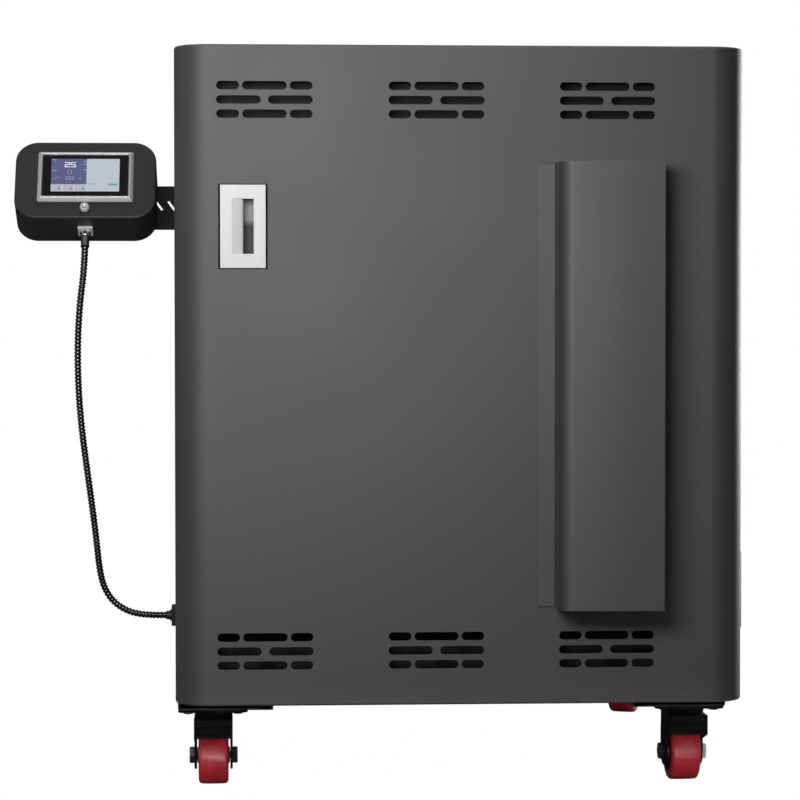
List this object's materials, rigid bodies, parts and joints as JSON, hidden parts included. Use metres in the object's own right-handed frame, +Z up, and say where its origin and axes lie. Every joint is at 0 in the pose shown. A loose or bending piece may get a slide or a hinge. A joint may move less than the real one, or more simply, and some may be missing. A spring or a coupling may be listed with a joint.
{
  "type": "pottery kiln",
  "caption": "Front-loading electric pottery kiln: brick-lined grey cabinet with a hinged full-height door, a tilted controller on a side bracket and swivel casters.",
  "frame": {"origin": "on the floor under the middle of the cabinet, midway between the front of the closed door and the rear panel", "axes": "+X to the right of someone who faces the door, +Y from the door to the rear panel, +Z up"},
  "size_m": [0.9364, 0.9531, 0.954],
  "materials": {
    "grey_paint": "satin",
    "base_paint": "satin",
    "front_frame_steel": "satin",
    "zinc_sheet": "satin",
    "zinc_hardware": "satin",
    "black_steel": "satin",
    "red_tread": "satin",
    "pull_finish": "satin",
    "soft_brick": "matte",
    "shelf_ceramic": "matte",
    "white_ceramic": "satin",
    "fibre_board": "matte",
    "heating_wire": "matte",
    "sink_aluminium": "satin",
    "relay_plastic": "satin",
    "black_plastic": "satin",
    "controller_paint": "satin",
    "bezel_metal": "satin",
    "display_glass": "gloss",
    "board_green": "satin",
    "nickel": "polished",
    "conduit_metal": "satin"
  },
  "bodies": {
    "cabinet": {"outer_shell": "grey_paint", "rear_panel": "grey_paint", "bottom_panel": "grey_paint", "base_frame": "base_paint", "front_frame": "front_frame_steel", "inner_casing": "zinc_sheet", "electrics_plate": "zinc_sheet", "panel_screws": "zinc_hardware", "hinge_fixed_barrels": "zinc_hardware", "hinge_pins": "zinc_hardware", "magnetic_catches": "zinc_hardware", "caster_plates": "black_steel", "controller_bracket": "black_steel", "lining_floor": "soft_brick", "lining_roof": "soft_brick", "lining_left": "soft_brick", "lining_right": "soft_brick", "lining_rear": "soft_brick", "kiln_shelf": "shelf_ceramic", "terminal_blocks": "white_ceramic", "thermocouple": "white_ceramic", "fibre_insulation": "fibre_board", "element_left": "heating_wire", "element_right": "heating_wire", "heat_sink": "sink_aluminium", "power_relays": "relay_plastic", "power_cable_gland": "black_plastic", "conduit_gland": "black_plastic", "controller_back": "black_plastic", "controller_case": "controller_paint", "display_bezel": "bezel_metal", "display_screen": "display_glass", "control_board": "board_green", "toggle_bushing": "nickel", "conduit_connector": "nickel", "conduit": "conduit_metal"},
    "door": {"door_shell": "grey_paint", "door_back_pan": "zinc_sheet", "door_fibre": "fibre_board", "door_lining": "soft_brick", "door_element": "heating_wire", "door_gasket": "fibre_board", "door_terminal_block": "white_ceramic", "terminal_cover": "grey_paint", "terminal_cover_screws": "zinc_hardware", "pull_handle": "pull_finish", "hinge_door_barrels": "zinc_hardware"},
    "toggle": {"toggle_lever": "nickel"},
    "swivel_front_left": {"caster_fork_front_left": "black_steel", "caster_axle_front_left": "zinc_hardware"},
    "wheel_front_left": {"caster_wheel_front_left": "red_tread"},
    "swivel_front_right": {"caster_fork_front_right": "black_steel", "caster_axle_front_right": "zinc_hardware"},
    "wheel_front_right": {"caster_wheel_front_right": "red_tread"},
    "swivel_rear_left": {"caster_fork_rear_left": "black_steel", "caster_axle_rear_left": "zinc_hardware"},
    "wheel_rear_left": {"caster_wheel_rear_left": "red_tread"},
    "swivel_rear_right": {"caster_fork_rear_right": "black_steel", "caster_axle_rear_right": "zinc_hardware"},
    "wheel_rear_right": {"caster_wheel_rear_right": "red_tread"}
  },
  "joints": [
    {"name": "door_hinge", "type": "hinge", "parent": "cabinet", "child": "door", "pos_m": [0.366, -0.308, 0.5437], "axis": [0, 0, 1], "range_deg": [0, 180]},
    {"name": "power_toggle", "type": "hinge", "parent": "cabinet", "child": "toggle", "pos_m": [-0.4727, -0.32946, 0.75507], "axis": [-1, 0, 0], "range_deg": [0, 28]},
    {"name": "swivel_front_left", "type": "hinge", "parent": "cabinet", "child": "swivel_front_left", "pos_m": [-0.3123, -0.2348, 0.1], "axis": [0, 0, 1], "continuous": true},
    {"name": "roll_front_left", "type": "hinge", "parent": "swivel_front_left", "child": "wheel_front_left", "pos_m": [-0.3123, -0.2128, 0.038], "axis": [1, 0, 0], "continuous": true},
    {"name": "swivel_front_right", "type": "hinge", "parent": "cabinet", "child": "swivel_front_right", "pos_m": [0.3123, -0.2348, 0.1], "axis": [0, 0, 1], "continuous": true},
    {"name": "roll_front_right", "type": "hinge", "parent": "swivel_front_right", "child": "wheel_front_right", "pos_m": [0.31153, -0.21281, 0.038], "axis": [0.9994, 0.0349, 0], "continuous": true},
    {"name": "swivel_rear_left", "type": "hinge", "parent": "cabinet", "child": "swivel_rear_left", "pos_m": [-0.3123, 0.389, 0.1], "axis": [0, 0, 1], "continuous": true},
    {"name": "roll_rear_left", "type": "hinge", "parent": "swivel_rear_left", "child": "wheel_rear_left", "pos_m": [-0.3146, 0.41088, 0.038], "axis": [0.9945, 0.1045, 0], "continuous": true},
    {"name": "swivel_rear_right", "type": "hinge", "parent": "cabinet", "child": "swivel_rear_right", "pos_m": [0.3123, 0.389, 0.1], "axis": [0, 0, 1], "continuous": true},
    {"name": "roll_rear_right", "type": "hinge", "parent": "swivel_rear_right", "child": "wheel_rear_right", "pos_m": [0.31982, 0.40967, 0.038], "axis": [0.9397, -0.342, 0], "continuous": true}
  ]
}
